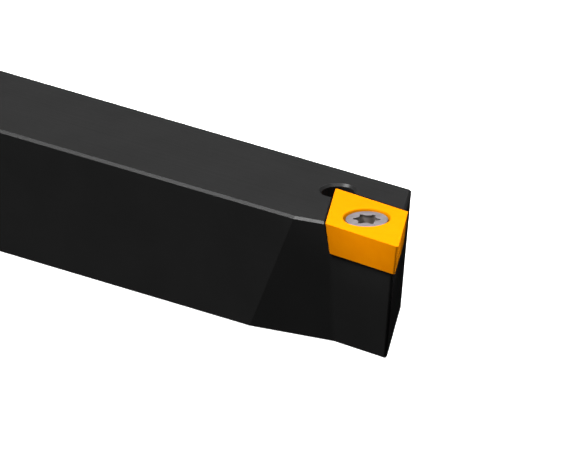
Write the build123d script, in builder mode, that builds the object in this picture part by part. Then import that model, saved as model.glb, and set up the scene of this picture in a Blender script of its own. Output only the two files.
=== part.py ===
from build123d import *
from math import atan2, cos, degrees, radians, sin, sqrt, tan
import os

os.makedirs("parts", exist_ok=True)

# Bar: square shank and head in one piece, 16 by 16 by 125 long
shank_height = 16.0
shank_width = 16.0
overall_length = 125.0
top_chamfer = 0.3
base_chamfer = 0.15

# Insert: four equal sides about a 55 degree point
inscribed_circle = 9.525
point_angle = 55.0
insert_thickness = 3.97
flank_angle = 7.0
corner_radius = 0.2
lead_lean = 3.0
insert_hole_diameter = 4.4
insert_sink_diameter = 5.9
seat_angle = 60.0

# Head: the lead side falls back behind the point, both faces below the edges lean under
relief_length = 15.77
relief_yaw = 12.4
relief_tilt = 5.3
valley_radius = 3.0
face_tilt = 5.0
lead_inset = 0.28
end_inset = 0.2
nose_edge_radius = 0.3

# Pocket: walls open slightly away from the flanks, corner relief drilled at the inner corner
wall_opening = 2.5
corner_hole_diameter = 4.1
corner_hole_offset = 0.75
corner_hole_extra_depth = 0.5
corner_hole_chamfer = 0.3

# Screw and its tapped hole
screw_diameter = 3.5
screw_length = 11.0
head_diameter = 5.15
head_sink = 0.18
head_edge = 0.08
tip_chamfer = 0.5
tapped_clearance = 0.01
mouth_chamfer = 0.3

# Six-lobe recess in the screw's head
lobe_span = 3.35
waist_span = 2.4
lobe_radius = 0.267
recess_depth = 1.3
lobe_turn = 33.0


def level(angle, tilt=0.0):
    """Unit vector pointing out at an angle in plan, dipped below level by the tilt."""
    turn = radians(angle)
    dip = radians(tilt)
    return Vector(cos(turn) * cos(dip), sin(turn) * cos(dip), -sin(dip))


# The insert lies with its rounded point touching the far end and the lead side
half_point = radians(point_angle / 2)
diagonal = 180 - lead_lean - point_angle / 2
lead_normal = -90 - lead_lean
end_normal = lead_normal + 180 - point_angle
point_centre = Vector(
    overall_length / 2 - corner_radius,
    -shank_width / 2 + corner_radius,
    shank_height,
)
insert_top = point_centre + level(diagonal) * ((inscribed_circle / 2 - corner_radius) / sin(half_point))
pocket_floor = shank_height - insert_thickness
insert_seat = Vector(insert_top.X, insert_top.Y, pocket_floor)
long_half = inscribed_circle / 2 / sin(half_point)
short_half = inscribed_circle / 2 / cos(half_point)
insert_plane = Plane(origin=insert_top, x_dir=level(diagonal), z_dir=(0, 0, 1))
screw_axis = Axis(insert_seat, (0, 0, 1))

# Faces of the head that stand under the two cutting edges
under_edge = inscribed_circle / 2 - insert_thickness * tan(radians(flank_angle))
lead_face = Plane(
    origin=insert_seat + level(lead_normal) * (under_edge - lead_inset),
    z_dir=level(lead_normal, face_tilt),
)
end_face = Plane(
    origin=insert_seat + level(end_normal) * (under_edge - end_inset),
    z_dir=level(end_normal, face_tilt),
)
relief_face = Plane(
    origin=(overall_length / 2 - relief_length, -shank_width / 2, shank_height),
    z_dir=level(relief_yaw - 90, relief_tilt),
)

# Walls of the pocket bear on the insert's two hidden flanks at the floor and open a little upwards
rear_wall = Plane(
    origin=insert_seat + level(end_normal + 180) * under_edge,
    z_dir=level(end_normal + 180, flank_angle + wall_opening),
)
side_wall = Plane(
    origin=insert_seat + level(lead_normal + 180) * under_edge,
    z_dir=level(lead_normal + 180, flank_angle + wall_opening),
)

reach = 2 * inscribed_circle


def on_both(edge, first, second):
    """True for the straight edge where two planes meet."""
    ends = (edge @ 0, edge @ 1)
    return all(abs(plane.to_local_coords(end).Z) < 1e-4 for plane in (first, second) for end in ends)


# Waste cut from the lead side: a wedge with a rounded valley
with BuildPart() as lead_waste:
    with Locations((insert_top.X, -shank_width / 2, shank_height / 2)):
        Box(2 * reach, shank_width, 2 * shank_height)
    split(bisect_by=relief_face, keep=Keep.TOP)
    split(bisect_by=lead_face, keep=Keep.TOP)
    fillet(lead_waste.edges().filter_by(lambda e: on_both(e, relief_face, lead_face)), valley_radius)

# Waste cut from the pocket, open towards both cutting edges
with BuildPart() as pocket_waste:
    with Locations(insert_seat):
        Box(2 * reach, 2 * reach, shank_height, align=(Align.CENTER, Align.CENTER, Align.MIN))
    split(bisect_by=rear_wall, keep=Keep.BOTTOM)
    split(bisect_by=side_wall, keep=Keep.BOTTOM)

# Bar with its head milled, edges broken, then pocketed and drilled
with BuildPart() as holder_body:
    Box(overall_length, shank_width, shank_height, align=(Align.CENTER, Align.CENTER, Align.MIN))
    chamfer(holder_body.faces().sort_by(Axis.X)[0].edges().filter_by(Axis.Z), top_chamfer)
    split(bisect_by=end_face, keep=Keep.BOTTOM)
    add(lead_waste.part, mode=Mode.SUBTRACT)
    chamfer(holder_body.faces().sort_by(Axis.Z)[-1].edges(), top_chamfer)
    add(pocket_waste.part, mode=Mode.SUBTRACT)
    fillet(holder_body.edges().filter_by(lambda e: on_both(e, lead_face, end_face)), nose_edge_radius)
    chamfer(holder_body.faces().sort_by(Axis.Z)[0].edges(), base_chamfer)
    with Locations(insert_top + level(diagonal) * (long_half - corner_hole_offset)):
        CounterSinkHole(
            radius=corner_hole_diameter / 2,
            counter_sink_radius=corner_hole_diameter / 2 + corner_hole_chamfer,
            depth=insert_thickness + corner_hole_extra_depth,
            counter_sink_angle=90,
        )
    with Locations(insert_seat):
        CounterSinkHole(
            radius=screw_diameter / 2 + tapped_clearance,
            counter_sink_radius=screw_diameter / 2 + tapped_clearance + mouth_chamfer,
            depth=pocket_floor,
            counter_sink_angle=90,
        )
holder_body.part.label = "holder_body"

# Insert: flanks lean in below the cutting edges
with BuildPart() as cutting_insert:
    with BuildSketch(insert_plane):
        Polygon((long_half, 0), (0, short_half), (-long_half, 0), (0, -short_half), align=None)
    extrude(amount=-insert_thickness, taper=flank_angle)
    fillet(cutting_insert.edges().filter_by(lambda e: abs(e.tangent_at(0.5).Z) > 0.5), corner_radius)
    with Locations(insert_top):
        CounterSinkHole(
            radius=insert_hole_diameter / 2,
            counter_sink_radius=insert_sink_diameter / 2,
            depth=insert_thickness,
            counter_sink_angle=seat_angle,
        )
cutting_insert.part.label = "cutting_insert"

# Screw: the cone under its head fills the lower part of the insert's sink
cone_slope = tan(radians(seat_angle / 2))
head_top = shank_height - head_sink
cone_top = shank_height - (insert_sink_diameter - head_diameter) / 2 / cone_slope
cone_foot = shank_height - (insert_sink_diameter - screw_diameter) / 2 / cone_slope
screw_tip = head_top - screw_length
outline = [
    (0, screw_tip),
    (screw_diameter / 2 - tip_chamfer, screw_tip),
    (screw_diameter / 2, screw_tip + tip_chamfer),
    (screw_diameter / 2, cone_foot),
    (head_diameter / 2, cone_top),
    (head_diameter / 2, head_top - head_edge),
    (head_diameter / 2 - head_edge, head_top),
    (0, head_top),
]
lobe_centre = lobe_span / 2 - lobe_radius
waist = waist_span / 2
waist_radius = (lobe_centre**2 + waist**2 - sqrt(3) * lobe_centre * waist - lobe_radius**2) / (
    2 * (lobe_radius - waist) + sqrt(3) * lobe_centre
)
waist_centre = waist + waist_radius
touch = lobe_radius / (lobe_radius + waist_radius)
touch_x = lobe_centre + touch * (waist_centre * cos(radians(30)) - lobe_centre)
touch_y = touch * waist_centre * sin(radians(30))
touch_reach = sqrt(touch_x**2 + touch_y**2)
touch_angle = degrees(atan2(touch_y, touch_x))


def spoke(reach_out, angle):
    """Point in plan at a distance from the screw's axis."""
    return (reach_out * cos(radians(angle)), reach_out * sin(radians(angle)))


with BuildPart() as clamp_screw:
    with BuildSketch(Plane(origin=(insert_top.X, insert_top.Y, 0), x_dir=(1, 0, 0), z_dir=(0, -1, 0))):
        with BuildLine():
            Polyline(*outline, close=True)
        make_face()
    revolve(axis=screw_axis)
    head_plane = Plane(origin=(insert_top.X, insert_top.Y, head_top), x_dir=level(lobe_turn), z_dir=(0, 0, 1))
    with BuildSketch(head_plane):
        with BuildLine():
            for lobe in range(6):
                turn = 60 * lobe
                ThreePointArc(
                    spoke(touch_reach, turn - touch_angle),
                    spoke(lobe_span / 2, turn),
                    spoke(touch_reach, turn + touch_angle),
                )
                ThreePointArc(
                    spoke(touch_reach, turn + touch_angle),
                    spoke(waist, turn + 30),
                    spoke(touch_reach, turn + 60 - touch_angle),
                )
        make_face()
    extrude(amount=-recess_depth, mode=Mode.SUBTRACT)
clamp_screw.part.label = "clamp_screw"

export_step(holder_body.part, "parts/holder_body.step")
export_step(cutting_insert.part, "parts/cutting_insert.step")
export_step(clamp_screw.part, "parts/clamp_screw.step")
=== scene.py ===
"""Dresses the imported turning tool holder: finishes, clamping screw, tapped thread, studio and camera.

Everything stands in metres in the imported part's own frame: +X runs along the shank towards the insert,
+Z is up, and the holder's base lies on the floor at Z = 0. New pieces are shaped in millimetres about
their own axis, and their last step sets them in place in metres.
"""

import logging
import math
from dataclasses import dataclass, field
from enum import Enum
from typing import Any

import bmesh
import bpy
from mathutils import Matrix, Vector


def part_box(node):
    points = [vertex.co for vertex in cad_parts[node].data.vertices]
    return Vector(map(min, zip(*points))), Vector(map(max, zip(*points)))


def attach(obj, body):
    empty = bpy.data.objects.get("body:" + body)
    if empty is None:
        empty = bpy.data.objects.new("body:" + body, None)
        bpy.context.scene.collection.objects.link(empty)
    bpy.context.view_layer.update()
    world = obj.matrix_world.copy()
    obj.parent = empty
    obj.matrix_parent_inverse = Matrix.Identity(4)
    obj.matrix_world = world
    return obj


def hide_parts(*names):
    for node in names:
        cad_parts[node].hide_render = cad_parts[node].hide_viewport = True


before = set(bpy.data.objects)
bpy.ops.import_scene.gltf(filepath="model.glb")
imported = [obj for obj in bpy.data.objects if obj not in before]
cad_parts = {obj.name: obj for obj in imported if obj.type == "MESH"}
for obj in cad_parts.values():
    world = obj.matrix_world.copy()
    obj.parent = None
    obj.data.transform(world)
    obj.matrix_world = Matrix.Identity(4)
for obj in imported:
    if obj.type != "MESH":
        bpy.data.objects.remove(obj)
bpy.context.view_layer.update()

log = logging.getLogger("tool_holder")

MM = 0.001
PICTURE = (575, 470)

# Points of a mesh in millimetres that lie closer than this are one point
MERGE_MM = 1e-4
# How far from a cut a point still counts as on it
CUT_MM = 1e-5
THREAD_STEPS_PER_TURN = 48

# Share of its strength that each finer layer of a noise keeps
NOISE_LAYER_SHARE = 0.55
# The middle of a noise's values, where nearly all of them lie
NOISE_MIDDLE = (0.35, 0.65)
NOISE_SPAN = (0.3, 0.7)

Colour = str | bpy.types.NodeSocket
Amount = float | bpy.types.NodeSocket


class Slot(Enum):
    """The record's material slots."""

    OXIDE = "blackened_steel"
    GOLD = "gold_coated_carbide"
    SCREW = "screw_steel"


def linear(hex_colour: str) -> tuple[float, float, float, float]:
    """Turns an sRGB hex colour into linear values.

    Args:
        hex_colour: six hex digits after a hash.

    Returns:
        Linear red, green and blue, and an alpha of 1.
    """
    parts = [int(hex_colour[i : i + 2], 16) / 255 for i in (1, 3, 5)]
    red, green, blue = (p / 12.92 if p <= 0.04045 else ((p + 0.055) / 1.055) ** 2.4 for p in parts)
    return (red, green, blue, 1.0)


def per_metre(size_mm: float) -> float:
    """Returns the pattern scale, in repeats a metre, for a real size in millimetres."""
    return 1 / (size_mm * MM)


def add_node(tree: bpy.types.NodeTree, kind: str, inputs: dict[Any, Any], **settings: Any) -> bpy.types.Node:
    """Adds a node, with its settings, its input values and its links.

    Args:
        tree: the node tree that the node joins.
        kind: Blender's name for the node.
        inputs: for each input, by name or number, a value or the output socket that feeds it.
        settings: the node's own properties.

    Returns:
        The new node.
    """
    node = tree.nodes.new(kind)
    for name, value in settings.items():
        setattr(node, name, value)
    for name, value in inputs.items():
        if isinstance(value, bpy.types.NodeSocket):
            tree.links.new(value, node.inputs[name])
        else:
            node.inputs[name].default_value = value
    return node


def new_material(name: str) -> tuple[bpy.types.Material, bpy.types.NodeTree]:
    """Makes an empty node material.

    Args:
        name: the material's name.

    Returns:
        The material and its node tree.
    """
    material = bpy.data.materials.new(name)
    material.use_nodes = True
    material.node_tree.nodes.clear()
    return material, material.node_tree


def stretched_noise(
    tree: bpy.types.NodeTree, size_mm: tuple[float, float, float], detail: float
) -> bpy.types.NodeSocket:
    """Lays a noise whose grains have a real size along each axis.

    Args:
        tree: the material's node tree.
        size_mm: the grain's length along X, Y and Z.
        detail: how many finer layers are added.

    Returns:
        The noise's value.
    """
    place = add_node(tree, "ShaderNodeTexCoord", {})
    lay = add_node(
        tree,
        "ShaderNodeMapping",
        {"Vector": place.outputs["Object"], "Scale": tuple(per_metre(size) for size in size_mm)},
    )
    noise = add_node(
        tree,
        "ShaderNodeTexNoise",
        {"Vector": lay.outputs["Vector"], "Scale": 1.0, "Detail": detail, "Roughness": NOISE_LAYER_SHARE},
    )
    return noise.outputs["Fac"]


def spread(
    tree: bpy.types.NodeTree,
    value: bpy.types.NodeSocket,
    source: tuple[float, float],
    target: tuple[float, float] = (0.0, 1.0),
) -> bpy.types.NodeSocket:
    """Maps one range of a value to another, held to the second range's ends.

    Args:
        tree: the material's node tree.
        value: the value that is mapped.
        source: the range that it is read over.
        target: the range that comes out.

    Returns:
        The mapped value.
    """
    ends = {"From Min": source[0], "From Max": source[1], "To Min": target[0], "To Max": target[1]}
    return add_node(tree, "ShaderNodeMapRange", {"Value": value, **ends}).outputs["Result"]


def blend_colours(
    tree: bpy.types.NodeTree, factor: bpy.types.NodeSocket, first: Colour, second: Colour
) -> bpy.types.NodeSocket:
    """Blends two colours.

    Args:
        tree: the material's node tree.
        factor: 0 gives the first colour and 1 the second.
        first: sRGB hex colour, or the socket that gives one.
        second: sRGB hex colour, or the socket that gives one.

    Returns:
        The blended colour.
    """
    ends = [linear(colour) if isinstance(colour, str) else colour for colour in (first, second)]
    node = add_node(tree, "ShaderNodeMix", {"Factor": factor, "A": ends[0], "B": ends[1]}, data_type="RGBA")
    return node.outputs["Result"]


def combine(tree: bpy.types.NodeTree, operation: str, first: Amount, second: Amount) -> bpy.types.NodeSocket:
    """Combines two numbers.

    Args:
        tree: the material's node tree.
        operation: Blender's name for the sum.
        first: a number, or the socket that gives one.
        second: a number, or the socket that gives one.

    Returns:
        The result.
    """
    return add_node(tree, "ShaderNodeMath", {0: first, 1: second}, operation=operation).outputs[0]


def near_edges(
    tree: bpy.types.NodeTree, reach_mm: float, turn_cosines: tuple[float, float] = (0.998, 0.93)
) -> bpy.types.NodeSocket:
    """Finds the strips along a shape's edges, where rounding them off would turn the surface.

    Args:
        tree: the material's node tree.
        reach_mm: how far a strip reaches from its edge.
        turn_cosines: the cosines of the turns between which the result goes from 0 to 1.

    Returns:
        1 on the edges, falling to 0 over the reach.
    """
    rounded = add_node(tree, "ShaderNodeBevel", {"Radius": reach_mm * MM}, samples=8)
    flat = add_node(tree, "ShaderNodeNewGeometry", {})
    turned = add_node(
        tree,
        "ShaderNodeVectorMath",
        {0: rounded.outputs["Normal"], 1: flat.outputs["Normal"]},
        operation="DOT_PRODUCT",
    )
    return spread(tree, turned.outputs["Value"], turn_cosines)


def about(tree: bpy.types.NodeTree, middle: Vector) -> bpy.types.NodeSocket:
    """Centres the Object coordinates.

    Args:
        tree: the material's node tree.
        middle: the point that they are counted from, in metres.

    Returns:
        The place on the piece in millimetres from that point.
    """
    place = add_node(tree, "ShaderNodeTexCoord", {})
    centred = add_node(
        tree,
        "ShaderNodeMapping",
        {
            "Vector": place.outputs["Object"],
            "Location": tuple(-along / MM for along in middle),
            "Scale": (1 / MM,) * 3,
        },
    )
    return centred.outputs["Vector"]


def inside_bore(
    tree: bpy.types.NodeTree, mouth: Vector, reach_mm: float, depth_mm: tuple[float, float]
) -> bpy.types.NodeSocket:
    """Finds the walls and floor of an upright hole.

    Args:
        tree: the material's node tree.
        mouth: the middle of the hole's mouth, in metres.
        reach_mm: how far from the hole's axis it is looked for.
        depth_mm: the depths below the mouth between which the result goes from 0 to 1.

    Returns:
        1 inside the hole and 0 elsewhere.
    """
    parts = add_node(tree, "ShaderNodeSeparateXYZ", {"Vector": about(tree, mouth)}).outputs
    squares = [combine(tree, "MULTIPLY", parts[axis], parts[axis]) for axis in ("X", "Y")]
    reach = combine(tree, "POWER", combine(tree, "ADD", *squares), 0.5)
    within = combine(tree, "LESS_THAN", reach, reach_mm)
    deep = spread(tree, parts["Z"], (-depth_mm[0], -depth_mm[1]))
    return combine(tree, "MULTIPLY", within, deep)


@dataclass(frozen=True)
class InsertPocket:
    """The room that the insert lies in, for finishes that change there.

    Its two walls follow the insert's hidden flanks: each faces the open side across from it, touches its
    flank at the floor and leans back a little further. Lengths are in millimetres and angles in degrees.
    """

    middle: Vector
    inscribed_circle: float = 9.525
    thickness: float = 3.97
    point_angle: float = 55.0
    lead_lean: float = 3.0
    flank_angle: float = 7.0
    wall_opening: float = 2.5

    def room(self, tree: bpy.types.NodeTree, rim_mm: float) -> bpy.types.NodeSocket:
        """Finds the pocket on the holder.

        Args:
            tree: the material's node tree.
            rim_mm: how far past its walls and floor still counts.

        Returns:
            1 in the pocket and on its rim, and 0 elsewhere.
        """
        place = about(tree, self.middle)
        height = add_node(tree, "ShaderNodeSeparateXYZ", {"Vector": place}).outputs["Z"]
        room = combine(tree, "GREATER_THAN", height, -self.thickness - rim_mm)
        lean = math.radians(self.flank_angle + self.wall_opening)
        foot = self.inscribed_circle / 2 - self.thickness * math.tan(math.radians(self.flank_angle))
        wall = foot * math.cos(lean) + self.thickness * math.sin(lean)
        lead_side = -90 - self.lead_lean
        for angle in (lead_side + 180 - self.point_angle, lead_side):
            turn = math.radians(angle)
            facing = (math.cos(turn) * math.cos(lean), math.sin(turn) * math.cos(lean), math.sin(lean))
            along = add_node(tree, "ShaderNodeVectorMath", {0: place, 1: facing}, operation="DOT_PRODUCT")
            within = combine(tree, "GREATER_THAN", along.outputs["Value"], -wall - rim_mm)
            room = combine(tree, "MULTIPLY", room, within)
        return room


@dataclass(frozen=True)
class GroundBlackOxide:
    """Alloy steel, surface ground and then blackened in a hot oxide bath.

    The eye sees an even, nearly matt black with a faint grain along the shank, a little cloudiness from the
    bath, and edges that handling has rubbed a shade paler and smoother. The pocket is cut by an end mill, so
    it is dull, and its colour is painted darker there as shade in the seam round the insert, reaching a
    little past its walls; the insert guards the pocket's edges from rubbing.
    """

    name: str = "ground_black_oxide_steel"
    dark: str = "#1f1f1f"
    pale: str = "#212121"
    roughness: float = 0.33
    specular: float = 0.14
    cloud_mm: float = 7.0
    # Real grinding lines are about 0.03 mm apart, too fine to show, so they are drawn at 0.3 mm
    grain_mm: float = 0.3
    grain_length_mm: float = 22.0
    grain_height_mm: float = 0.004
    grain_strength: float = 0.5
    sheen_swing: float = 0.03
    rubbed: str = "#3a3a3b"
    rub_mm: float = 0.12
    rub_length_mm: float = 1.1
    rub_band: tuple[float, float] = (0.4, 0.65)
    rub_shares: tuple[float, float] = (0.1, 1.0)
    # Painted shade: the pocket's colour, darkened to stand for the shade in the seam round the insert
    pocket_painted_shade: str = "#080706"
    milled_roughness: float = 0.75
    guard_mm: float = 0.25
    dull_and_shade_rim_mm: float = 0.1

    def build(self, pocket: InsertPocket) -> bpy.types.Material:
        """Makes the finish.

        Args:
            pocket: the room for the insert, cut by an end mill.

        Returns:
            The finish as a node material.
        """
        material, tree = new_material(self.name)
        near_pocket = pocket.room(tree, self.guard_mm)
        # The pocket's mask dulls its cut walls and paints their colour darker as shade in the seam
        pocket_dulled_and_shaded = pocket.room(tree, self.dull_and_shade_rim_mm)
        clouds = stretched_noise(tree, (self.cloud_mm,) * 3, detail=4.0)
        grain = stretched_noise(tree, (self.grain_length_mm, self.grain_mm, self.grain_mm), detail=2.0)
        rub_noise = stretched_noise(tree, (self.rub_length_mm,) * 3, detail=3.0)
        rub_patches = spread(tree, rub_noise, self.rub_band, self.rub_shares)
        rub = combine(tree, "MULTIPLY", near_edges(tree, self.rub_mm), rub_patches)
        bared = combine(tree, "MULTIPLY", rub, combine(tree, "SUBTRACT", 1.0, near_pocket))
        bath = blend_colours(tree, spread(tree, clouds, NOISE_MIDDLE), self.dark, self.pale)
        outside = blend_colours(tree, bared, bath, self.rubbed)
        sheen_ends = (self.roughness - self.sheen_swing, self.roughness + self.sheen_swing)
        sheen = spread(tree, grain, NOISE_SPAN, sheen_ends)
        dulling = combine(tree, "MULTIPLY", pocket_dulled_and_shaded, self.milled_roughness - self.roughness)
        relief = add_node(
            tree,
            "ShaderNodeBump",
            {"Height": grain, "Strength": self.grain_strength, "Distance": self.grain_height_mm * MM},
        )
        shader = add_node(
            tree,
            "ShaderNodeBsdfPrincipled",
            {
                "Base Color": blend_colours(tree, pocket_dulled_and_shaded, outside, self.pocket_painted_shade),
                "Roughness": combine(tree, "ADD", sheen, dulling),
                "Specular IOR Level": self.specular,
                "Normal": relief.outputs["Normal"],
            },
        )
        add_node(tree, "ShaderNodeOutputMaterial", {"Surface": shader.outputs["BSDF"]})
        return material


@dataclass(frozen=True)
class GoldNitrideCoating:
    """Sintered carbide, ground and coated with a gold-coloured nitride in a vacuum.

    The eye sees a satin golden yellow, a shade deeper in some spots, on a very fine even tooth. Inside the
    screw's hole the colour is painted browner, as painted shade on the countersink's wall.
    """

    name: str = "gold_nitride_coated_carbide"
    deep: str = "#e48400"
    bright: str = "#e78800"
    roughness: float = 0.5
    metallic: float = 0.15
    specular: float = 0.02
    patch_mm: float = 1.6
    # The carbide's grains are a few microns across, so the tooth is drawn at 0.12 mm
    tooth_mm: float = 0.12
    tooth_height_mm: float = 0.001
    tooth_strength: float = 0.4
    # Painted shade: a browner colour on the countersink's wall inside the screw's hole
    hole_painted_shade: str = "#b06c00"
    hole_reach_mm: float = 2.97
    hole_shade_depth_mm: tuple[float, float] = (0.01, 0.15)

    def build(self, hole: Vector) -> bpy.types.Material:
        """Makes the finish.

        Args:
            hole: the middle of the screw hole's mouth, in metres.

        Returns:
            The finish as a node material.
        """
        material, tree = new_material(self.name)
        # Mask for the painted shade inside the screw's hole
        in_hole = inside_bore(tree, hole, self.hole_reach_mm, self.hole_shade_depth_mm)
        patches = stretched_noise(tree, (self.patch_mm,) * 3, detail=3.0)
        tooth = stretched_noise(tree, (self.tooth_mm,) * 3, detail=2.0)
        coat = blend_colours(tree, spread(tree, patches, NOISE_MIDDLE), self.deep, self.bright)
        relief = add_node(
            tree,
            "ShaderNodeBump",
            {"Height": tooth, "Strength": self.tooth_strength, "Distance": self.tooth_height_mm * MM},
        )
        shader = add_node(
            tree,
            "ShaderNodeBsdfPrincipled",
            {
                "Base Color": blend_colours(tree, in_hole, coat, self.hole_painted_shade),
                "Metallic": self.metallic,
                "Roughness": self.roughness,
                "Specular IOR Level": self.specular,
                "Normal": relief.outputs["Normal"],
            },
        )
        add_node(tree, "ShaderNodeOutputMaterial", {"Surface": shader.outputs["BSDF"]})
        return material


@dataclass(frozen=True)
class BareScrewSteel:
    """Hardened steel, cold headed, thread rolled and tumbled bright.

    The eye sees a soft pale grey with a broad sheen, small smudges left by the tumbling, and a recess that
    the punch left dull. Its colour is painted: darkest just inside the mouth as painted shade, and paler
    further down as painted light that evens out the shade deep inside.
    """

    name: str = "tumbled_screw_steel"
    dull: str = "#858082"
    clean: str = "#918b8f"
    # Recess colours: painted light deep inside, and painted shade just inside the mouth
    recess_painted_light: str = "#98928f"
    recess_painted_shade: str = "#56524f"
    roughness: float = 0.68
    recess_roughness: float = 0.75
    sheen_swing: float = 0.03
    smudge_mm: float = 0.9
    recess_reach_mm: float = 1.72
    recess_onset_mm: tuple[float, float] = (0.005, 0.03)
    mouth_shade_depth_mm: tuple[float, float] = (0.15, 0.45)

    def build(self, head: Vector) -> bpy.types.Material:
        """Makes the finish.

        Args:
            head: the middle of the head's top, in metres.

        Returns:
            The finish as a node material.
        """
        material, tree = new_material(self.name)
        smudges = stretched_noise(tree, (self.smudge_mm,) * 3, detail=4.0)
        recess = inside_bore(tree, head, self.recess_reach_mm, self.recess_onset_mm)
        below_mouth_shade = inside_bore(tree, head, self.recess_reach_mm, self.mouth_shade_depth_mm)
        # Painted shade just inside the recess's mouth, turning into painted light further down
        recess_painted_tone = blend_colours(tree, below_mouth_shade, self.recess_painted_shade, self.recess_painted_light)
        steel = blend_colours(tree, spread(tree, smudges, NOISE_MIDDLE), self.dull, self.clean)
        sheen_ends = (self.roughness - self.sheen_swing, self.roughness + self.sheen_swing)
        sheen = spread(tree, smudges, NOISE_SPAN, sheen_ends)
        dulling = combine(tree, "MULTIPLY", recess, self.recess_roughness - self.roughness)
        shader = add_node(
            tree,
            "ShaderNodeBsdfPrincipled",
            {
                "Base Color": blend_colours(tree, recess, steel, recess_painted_tone),
                "Metallic": 1.0,
                "Roughness": combine(tree, "ADD", sheen, dulling),
            },
        )
        add_node(tree, "ShaderNodeOutputMaterial", {"Surface": shader.outputs["BSDF"]})
        return material


@dataclass(frozen=True)
class LitWhiteAcrylic:
    """Translucent white acrylic sheet of a light table, lit from below.

    The eye sees a plain white floor with hardly a shadow.
    """

    name: str = "white_acrylic_floor"
    colour: str = "#f4f4f4"
    roughness: float = 0.6
    glow: float = 0.95

    def build(self) -> bpy.types.Material:
        """Makes the finish.

        Returns:
            The finish as a node material.
        """
        material, tree = new_material(self.name)
        shader = add_node(
            tree,
            "ShaderNodeBsdfPrincipled",
            {
                "Base Color": linear(self.colour),
                "Roughness": self.roughness,
                "Emission Color": linear(self.colour),
                "Emission Strength": self.glow,
            },
        )
        add_node(tree, "ShaderNodeOutputMaterial", {"Surface": shader.outputs["BSDF"]})
        return material


def place_piece(
    name: str, mesh: bmesh.types.BMesh, origin: Vector, material: bpy.types.Material
) -> bpy.types.Object:
    """Turns a shape in millimetres into a finished piece that rides on the holder.

    Args:
        name: the piece's name.
        mesh: the shape, in millimetres about its own origin. It is freed.
        origin: where the shape's origin goes, in metres.
        material: the piece's finish.

    Returns:
        The piece's object, with its place in its mesh.
    """
    bmesh.ops.transform(mesh, matrix=Matrix.Translation(origin) @ Matrix.Scale(MM, 4), verts=mesh.verts)
    data = bpy.data.meshes.new(name)
    mesh.to_mesh(data)
    mesh.free()
    data.materials.append(material)
    piece = bpy.data.objects.new(name, data)
    bpy.context.scene.collection.objects.link(piece)
    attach(piece, "root")
    log.info("%s: %d faces", name, len(data.polygons))
    return piece


def shade_smooth_below(mesh: bmesh.types.BMesh, angle: float) -> None:
    """Shades a shape smoothly, with its edges sharper than an angle left crisp.

    Args:
        mesh: the shape.
        angle: the largest turn between two faces that is still shaded smoothly, in degrees.
    """
    for face in mesh.faces:
        face.smooth = True
    for edge in mesh.edges:
        edge.smooth = len(edge.link_faces) == 2 and edge.calc_face_angle(0.0) < math.radians(angle)


def loop_at(mesh: bmesh.types.BMesh, height: float) -> list[bmesh.types.BMEdge]:
    """Finds the open edges that lie at one height.

    Args:
        mesh: the shape.
        height: the height along Z.

    Returns:
        The boundary edges at that height.
    """
    return [
        edge
        for edge in mesh.edges
        if len(edge.link_faces) < 2 and all(abs(vert.co.z - height) < MERGE_MM for vert in edge.verts)
    ]


def draw_loop(
    mesh: bmesh.types.BMesh, loop: list[bmesh.types.BMEdge], reach: float | None, height: float
) -> list[bmesh.types.BMEdge]:
    """Extrudes a closed loop of edges to a new height about the Z axis.

    Args:
        mesh: the shape.
        loop: the edges that are extruded.
        reach: the new loop's distance from the axis, or None to keep each point's own.
        height: the new loop's height.

    Returns:
        The new loop's edges.
    """
    made = bmesh.ops.extrude_edge_only(mesh, edges=loop)["geom"]
    verts = {item for item in made if isinstance(item, bmesh.types.BMVert)}
    for vert in verts:
        spoke = vert.co.xy if reach is None else vert.co.xy.normalized() * reach
        vert.co = (spoke.x, spoke.y, height)
    return [item for item in made if isinstance(item, bmesh.types.BMEdge) and verts.issuperset(item.verts)]


def wind(mesh: bmesh.types.BMesh, profile: list[Any], pitch: float, steps: int) -> None:
    """Winds a profile round the Z axis, one pitch higher with each turn, and joins what meets.

    Args:
        mesh: the shape that holds the profile.
        profile: the profile's points, edges and faces.
        pitch: how far one turn rises.
        steps: how many steps are wound.
    """
    bmesh.ops.spin(
        mesh,
        geom=profile,
        cent=(0.0, 0.0, 0.0),
        axis=(0.0, 0.0, 1.0),
        dvec=(0.0, 0.0, pitch / THREAD_STEPS_PER_TURN),
        angle=math.tau * steps / THREAD_STEPS_PER_TURN,
        steps=steps,
        use_merge=False,
    )
    bmesh.ops.remove_doubles(mesh, verts=mesh.verts, dist=MERGE_MM)


@dataclass
class HelicalTooth:
    """One tooth of a screw thread, wound round the Z axis. All sizes are in millimetres."""

    pitch: float
    root: float
    crest: float
    crest_flat: float = 1 / 8
    root_flat: float = 1 / 4

    def outline(self) -> list[tuple[float, float]]:
        """Works out the tooth's outline over one pitch, from the shares that its flats take.

        Returns:
            The distances from the axis and the heights of its points.
        """
        flank = (1 - self.crest_flat - self.root_flat) / 2
        shares = (0.0, flank, flank + self.crest_flat, 2 * flank + self.crest_flat, 1.0)
        reaches = (self.root, self.crest, self.crest, self.root, self.root)
        return [(reach, share * self.pitch) for reach, share in zip(reaches, shares)]

    def roll(self, mesh: bmesh.types.BMesh, start: float, turns: int) -> None:
        """Winds the tooth's outline into a thread whose turns join.

        Args:
            mesh: the shape that the thread is added to.
            start: the height of the first turn.
            turns: how many turns are wound.
        """
        verts = [mesh.verts.new((reach, 0.0, start + height)) for reach, height in self.outline()]
        edges = [mesh.edges.new(pair) for pair in zip(verts, verts[1:])]
        wind(mesh, verts + edges, self.pitch, THREAD_STEPS_PER_TURN * turns)

    def cut_level(self, mesh: bmesh.types.BMesh, height: float, keep_above: bool) -> None:
        """Cuts the thread off level.

        Args:
            mesh: the thread.
            height: where it is cut.
            keep_above: True keeps what lies above the cut.
        """
        bmesh.ops.bisect_plane(
            mesh,
            geom=[*mesh.verts, *mesh.edges, *mesh.faces],
            dist=CUT_MM,
            plane_co=(0.0, 0.0, height),
            plane_no=(0.0, 0.0, 1.0),
            clear_inner=keep_above,
            clear_outer=not keep_above,
        )


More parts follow.
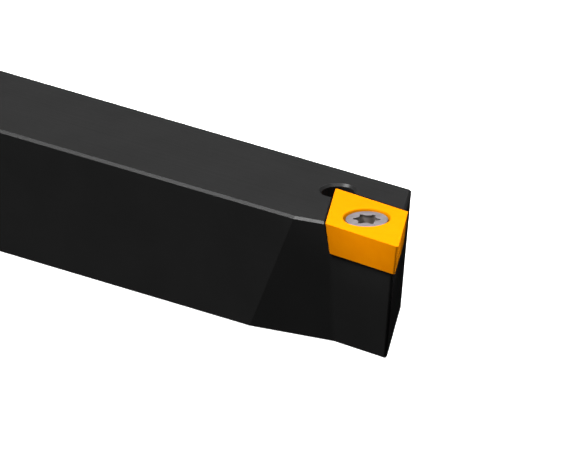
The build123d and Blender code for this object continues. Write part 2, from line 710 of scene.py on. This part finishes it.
@dataclass
class ClampScrew:
    """Countersunk six-lobe screw that holds the insert.

    Its place, length and head's reach come from its CAD node. Lengths are in millimetres and angles in
    degrees, and heights are counted from the head's top.
    """

    finish: BareScrewSteel
    node: str = "clamp_screw"
    pitch: float = 0.6
    thread_reach: float = 1.75
    thread_depth: float = 0.36
    seat_angle: float = 60.0
    cone_top_below_head: float = 0.47
    rim_round: float = 0.07
    tip_chamfer: float = 0.5
    neck_length: float = 0.5
    lobe_span: float = 3.35
    waist_span: float = 2.4
    lobe_radius: float = 0.267
    lobe_turn: float = 33.0
    recess_depth: float = 1.3
    recess_point: float = 0.35
    recess_rim: float = 0.025
    segments: int = 144
    round_segments: int = 3
    crisp_angle: float = 35.0
    origin: Vector = field(init=False)
    head_reach: float = field(init=False)
    length: float = field(init=False)

    def __post_init__(self) -> None:
        """Reads the screw's place, head and length from its CAD node."""
        low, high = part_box(self.node)
        self.origin = Vector(((low.x + high.x) / 2, (low.y + high.y) / 2, high.z))
        self.head_reach = (high.x - low.x) / 2 / MM
        self.length = (high.z - low.z) / MM

    @property
    def neck_reach(self) -> float:
        """Returns the neck's distance from the axis, half way down the thread."""
        return self.thread_reach - self.thread_depth / 2

    @property
    def cone_foot(self) -> float:
        """Returns the height at which the cone under the head meets the neck."""
        slope = math.tan(math.radians(self.seat_angle / 2))
        return -self.cone_top_below_head - (self.head_reach - self.neck_reach) / slope

    def recess_reach(self, angle: float) -> float:
        """Gives how far the recess reaches from the axis.

        Args:
            angle: direction in plan, in radians from the middle of a lobe.

        Returns:
            The distance to the recess's wall: on a lobe's round end, or on the round waist between two lobes.
        """
        half_lobe = math.pi / 6
        turned = (angle + half_lobe) % (2 * half_lobe) - half_lobe
        lobe_centre = self.lobe_span / 2 - self.lobe_radius
        waist = self.waist_span / 2
        waist_radius = (
            lobe_centre**2 + waist**2 - math.sqrt(3) * lobe_centre * waist - self.lobe_radius**2
        ) / (2 * (self.lobe_radius - waist) + math.sqrt(3) * lobe_centre)
        waist_centre = waist + waist_radius
        off = lobe_centre * math.sin(abs(turned))
        along = lobe_centre * math.cos(turned)
        on_lobe = along + math.sqrt(max(self.lobe_radius**2 - off**2, 0.0)) if off < self.lobe_radius else 0.0
        aside = half_lobe - abs(turned)
        off = waist_centre * math.sin(aside)
        along = waist_centre * math.cos(aside)
        on_waist = along - math.sqrt(waist_radius**2 - off**2) if off < waist_radius else math.inf
        touch = self.lobe_radius / (self.lobe_radius + waist_radius)
        touch_x = lobe_centre + touch * (waist_centre * math.cos(half_lobe) - lobe_centre)
        touch_y = touch * waist_centre * math.sin(half_lobe)
        return on_lobe if abs(turned) <= math.atan2(touch_y, touch_x) else on_waist

    def form_head(self, mesh: bmesh.types.BMesh, neck_end: float) -> None:
        """Forms the head from its recess outwards: top, rim, cone and neck.

        Args:
            mesh: the shape that they are added to.
            neck_end: the height at which the neck stops.
        """
        turn = math.radians(self.lobe_turn)
        circle = bmesh.ops.create_circle(mesh, cap_ends=False, radius=1.0, segments=self.segments)
        for vert in circle["verts"]:
            vert.co *= self.recess_reach(math.atan2(vert.co.y, vert.co.x) - turn)
        recess_edge = list(mesh.edges)
        rim = draw_loop(mesh, recess_edge, self.head_reach, 0.0)
        cone_top = draw_loop(mesh, rim, self.head_reach, -self.cone_top_below_head)
        neck_top = draw_loop(mesh, cone_top, self.neck_reach, self.cone_foot)
        draw_loop(mesh, neck_top, self.neck_reach, neck_end)
        foot = draw_loop(mesh, recess_edge, None, -self.recess_depth)
        floor = bmesh.ops.contextual_create(mesh, geom=foot)["faces"]
        centre = bmesh.ops.poke(mesh, faces=floor)["verts"]
        bmesh.ops.translate(mesh, verts=centre, vec=(0.0, 0.0, -self.recess_point))
        for edges, offset in ((rim, self.rim_round), (recess_edge, self.recess_rim)):
            bmesh.ops.bevel(
                mesh,
                geom=edges,
                offset=offset,
                affect="EDGES",
                segments=self.round_segments,
                profile=0.5,
                material=-1,
            )

    def roll_thread(self, mesh: bmesh.types.BMesh, top: float) -> None:
        """Rolls the thread below the neck and chamfers its tip.

        Args:
            mesh: the shape that the thread is added to.
            top: the height at which the thread starts.
        """
        tooth = HelicalTooth(self.pitch, self.thread_reach - self.thread_depth, self.thread_reach)
        tip = -self.length
        # Turns past each end, which the level cuts take off
        spare_turns = 1
        turns = math.ceil((top - tip) / self.pitch) + 2 * spare_turns
        thread = bmesh.new()
        tooth.roll(thread, tip - spare_turns * self.pitch, turns)
        tooth.cut_level(thread, top, keep_above=False)
        tooth.cut_level(thread, tip, keep_above=True)
        for vert in thread.verts:
            limit = self.thread_reach - self.tip_chamfer + (vert.co.z - tip)
            reach = vert.co.xy.length
            if reach > limit:
                vert.co.xy *= limit / reach
        bmesh.ops.contextual_create(thread, geom=loop_at(thread, tip))
        kept = bpy.data.meshes.new("thread")
        thread.to_mesh(kept)
        thread.free()
        mesh.from_mesh(kept)
        bpy.data.meshes.remove(kept)

    def build(self) -> bpy.types.Object:
        """Makes the screw in place of its CAD node.

        Returns:
            The screw's object.
        """
        neck_end = self.cone_foot - self.neck_length
        thread_top = neck_end - self.thread_depth / 2
        mesh = bmesh.new()
        self.form_head(mesh, neck_end)
        self.roll_thread(mesh, thread_top)
        bmesh.ops.bridge_loops(mesh, edges=loop_at(mesh, neck_end) + loop_at(mesh, thread_top))
        bmesh.ops.remove_doubles(mesh, verts=mesh.verts, dist=MERGE_MM)
        bmesh.ops.recalc_face_normals(mesh, faces=mesh.faces)
        shade_smooth_below(mesh, self.crisp_angle)
        steel = self.finish.build(self.origin)
        piece = place_piece(self.node + "_turned", mesh, self.origin, steel)
        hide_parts(self.node)
        return piece


@dataclass
class TappedThread:
    """Turns of the holder's own thread that show in the open end of its tapped hole, below the screw.

    Lengths are in millimetres. The ridge bites a little into the hole's wall, and the heights of its crest
    and of its far foot are shares of the pitch.
    """

    finish: bpy.types.Material
    screw: ClampScrew
    hole_reach: float = 1.76
    ridge_depth: float = 0.3
    bite: float = 0.03
    clearance: float = 0.12
    crest_shares: tuple[float, float] = (0.36, 0.56)
    foot_share: float = 0.92
    crisp_angle: float = 30.0

    def build(self) -> bpy.types.Object:
        """Winds the ridge from the base up to the screw's tip.

        Returns:
            The thread's object.
        """
        tip = self.screw.origin.z / MM - self.screw.length
        pitch = self.screw.pitch
        turns = (tip - 2 * self.clearance - pitch) / pitch
        foot = self.hole_reach + self.bite
        crest = self.hole_reach - self.ridge_depth
        crest_start, crest_end = self.crest_shares
        outline = [(foot, 0.0), (crest, crest_start), (crest, crest_end), (foot, self.foot_share)]
        mesh = bmesh.new()
        verts = [mesh.verts.new((reach, 0.0, self.clearance + share * pitch)) for reach, share in outline]
        face = mesh.faces.new(verts)
        wind(mesh, [face, *face.edges, *verts], pitch, math.floor(turns * THREAD_STEPS_PER_TURN))
        bmesh.ops.recalc_face_normals(mesh, faces=mesh.faces)
        shade_smooth_below(mesh, self.crisp_angle)
        origin = Vector((self.screw.origin.x, self.screw.origin.y, 0.0))
        return place_piece("tapped_thread", mesh, origin, self.finish)


@dataclass
class CadPiece:
    """A CAD node that keeps its shape and gets a real finish."""

    node: str
    finish: bpy.types.Material

    def dress(self) -> bpy.types.Object:
        """Gives the node its finish.

        Returns:
            The node's object.
        """
        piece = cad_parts[self.node]
        for slot in piece.material_slots:
            slot.material = self.finish
        log.info("%s: %s", self.node, self.finish.name)
        return piece


@dataclass(frozen=True)
class Lamp:
    """A studio light that looks at the insert, with its power in watts and all lengths in metres.

    It hangs at a distance in one direction. The aim shifts the lamp and the point that it looks at, and a
    lamp that isn't mirrored lights the holder without a glint.
    """

    name: str
    towards: tuple[float, float, float]
    distance: float
    power: float
    aim: tuple[float, float, float] = field(kw_only=True, default=(0.0, 0.0, 0.0))
    mirrored: bool = field(kw_only=True, default=True)

    def hang(self, data: bpy.types.Light, target: Vector) -> bpy.types.Object:
        """Hangs a light.

        Args:
            data: the light's own data.
            target: the point that it looks at, in metres.

        Returns:
            The light's object.
        """
        direction = Vector(self.towards).normalized()
        data.energy = self.power
        lamp = bpy.data.objects.new(self.name, data)
        lamp.location = target + Vector(self.aim) + direction * self.distance
        lamp.rotation_euler = direction.to_track_quat("Z", "Y").to_euler()
        lamp.visible_glossy = self.mirrored
        bpy.context.scene.collection.objects.link(lamp)
        return lamp


@dataclass(frozen=True)
class SoftBox(Lamp):
    """A square softbox."""

    side: float

    def light(self, target: Vector) -> bpy.types.Object:
        """Hangs the softbox.

        Args:
            target: the point that it looks at, in metres.

        Returns:
            The softbox's object.
        """
        data = bpy.data.lights.new(self.name, "AREA")
        data.shape = "SQUARE"
        data.size = self.side
        return self.hang(data, target)


@dataclass(frozen=True)
class Snoot(Lamp):
    """A narrow light whose soft-edged pool covers little more than the insert."""

    pool: float
    mouth: float

    def light(self, target: Vector) -> bpy.types.Object:
        """Hangs the snoot.

        Args:
            target: the point that it looks at, in metres.

        Returns:
            The snoot's object.
        """
        data = bpy.data.lights.new(self.name, "SPOT")
        data.spot_size = 2 * math.atan(self.pool / 2 / self.distance)
        data.spot_blend = 1.0
        data.shadow_soft_size = self.mouth / 2
        return self.hang(data, target)


@dataclass
class Studio:
    """A plain white floor, soft light from above and a dim room."""

    floor_finish: bpy.types.Material
    target: Vector
    floor_side: float = 4.0
    # Just clear of the base, so that the two never share one plane
    floor_drop: float = 0.00005
    room_above: str = "#3a3a3a"
    room_below: str = "#0a0a0a"
    # Heights on the room's globe between which its lower half turns into its upper
    horizon: tuple[float, float] = (-0.1, 0.1)
    surround: str = "#ffffff"
    lamps: tuple[SoftBox | Snoot, ...] = (
        SoftBox("key_softbox", towards=(-0.35, -0.43, 0.83), distance=1.6, power=37.0, side=0.54),
        SoftBox("top_softbox", towards=(0.14, -0.1, 0.97), distance=1.8, power=30.0, side=1.4),
        SoftBox("back_softbox", towards=(0.0, 0.5, 0.86), distance=1.8, power=22.0, side=1.2),
        SoftBox("back_fill", towards=(-0.1, 0.99, 0.05), distance=1.6, power=4.0, side=0.8, mirrored=False),
        Snoot(
            "end_snoot",
            towards=(0.94, 0.34, 0.1),
            distance=0.6,
            power=17.5,
            pool=0.0155,
            mouth=0.012,
            aim=(0.0072, -0.003, 0.0026),
        ),
        Snoot(
            "side_snoot",
            towards=(-0.55, -0.8, 0.22),
            distance=0.6,
            power=13.4,
            pool=0.0165,
            mouth=0.012,
            aim=(0.0035, -0.004, 0.0022),
        ),
    )

    def lay_floor(self) -> bpy.types.Object:
        """Lays the floor under the holder.

        Returns:
            The floor's object.
        """
        mesh = bmesh.new()
        level = Matrix.Translation((0.0, 0.0, -self.floor_drop))
        bmesh.ops.create_grid(mesh, x_segments=1, y_segments=1, size=self.floor_side / 2, matrix=level)
        data = bpy.data.meshes.new("floor")
        mesh.to_mesh(data)
        mesh.free()
        data.materials.append(self.floor_finish)
        floor = bpy.data.objects.new("floor", data)
        floor.visible_diffuse = False
        floor.visible_glossy = False
        bpy.context.scene.collection.objects.link(floor)
        return floor

    def fill_room(self) -> None:
        """Fills the room with dim light, and shows it white past the floor's edge."""
        world = bpy.data.worlds.new("studio_room")
        world.use_nodes = True
        tree = world.node_tree
        tree.nodes.clear()
        look = add_node(tree, "ShaderNodeTexCoord", {})
        height = add_node(tree, "ShaderNodeSeparateXYZ", {"Vector": look.outputs["Generated"]}).outputs["Z"]
        room = blend_colours(tree, spread(tree, height, self.horizon), self.room_below, self.room_above)
        ray = add_node(tree, "ShaderNodeLightPath", {})
        shown = blend_colours(tree, ray.outputs["Is Camera Ray"], room, self.surround)
        glow = add_node(tree, "ShaderNodeBackground", {"Color": shown})
        add_node(tree, "ShaderNodeOutputWorld", {"Surface": glow.outputs["Background"]})
        bpy.context.scene.world = world

    def build(self) -> None:
        """Sets up floor, lights and room."""
        self.lay_floor()
        for lamp in self.lamps:
            lamp.light(self.target)
        self.fill_room()
        bpy.context.scene.view_settings.view_transform = "Standard"
        log.info("studio: %d lamps", len(self.lamps))


@dataclass
class Viewpoint:
    """The photograph's viewing angle, through a long lens that keeps parallel edges nearly parallel.

    Angles are in degrees, and the lens and the sensor in millimetres. The view is clipped at two shares of
    the camera's distance.
    """

    anchor: Vector
    anchor_pixel: tuple[float, float] = (366.8, 219.0)
    pixels_per_mm: float = 8.277
    azimuth: float = 38.3
    elevation: float = 21.84
    lens: float = 1200.0
    sensor: float = 36.0
    clip_shares: tuple[float, float] = (0.1, 3.0)

    def build(self) -> bpy.types.Object:
        """Places the camera so that the anchor falls on its pixel.

        Returns:
            The camera's object.
        """
        turn = math.radians(self.azimuth)
        rise = math.radians(self.elevation)
        back = Vector((math.sin(turn) * math.cos(rise), -math.cos(turn) * math.cos(rise), math.sin(rise)))
        right = Vector((math.cos(turn), math.sin(turn), 0.0))
        up = back.cross(right)
        metres_per_pixel = MM / self.pixels_per_mm
        across = self.anchor_pixel[0] - PICTURE[0] / 2
        down = self.anchor_pixel[1] - PICTURE[1] / 2
        aim = self.anchor + (up * down - right * across) * metres_per_pixel
        data = bpy.data.cameras.new("camera")
        data.lens = self.lens
        data.sensor_width = self.sensor
        distance = self.lens / self.sensor * PICTURE[0] * metres_per_pixel
        data.clip_start = distance * self.clip_shares[0]
        data.clip_end = distance * self.clip_shares[1]
        camera = bpy.data.objects.new("camera", data)
        camera.location = aim + back * distance
        camera.rotation_euler = back.to_track_quat("Z", "Y").to_euler()
        bpy.context.scene.collection.objects.link(camera)
        bpy.context.scene.camera = camera
        return camera


def main() -> None:
    """Dresses the holder from the bar outwards, then sets up the studio and the camera."""
    logging.basicConfig(level=logging.INFO, format="%(message)s")
    screw = ClampScrew(BareScrewSteel())
    insert_top = Vector((screw.origin.x, screw.origin.y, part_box("cutting_insert")[1].z))
    oxide = GroundBlackOxide().build(InsertPocket(insert_top))
    CadPiece("holder_body", oxide).dress()
    CadPiece("cutting_insert", GoldNitrideCoating().build(insert_top)).dress()
    screw.build()
    TappedThread(oxide, screw).build()
    Studio(LitWhiteAcrylic().build(), screw.origin).build()
    Viewpoint(screw.origin).build()


if __name__ == "__main__":
    main()
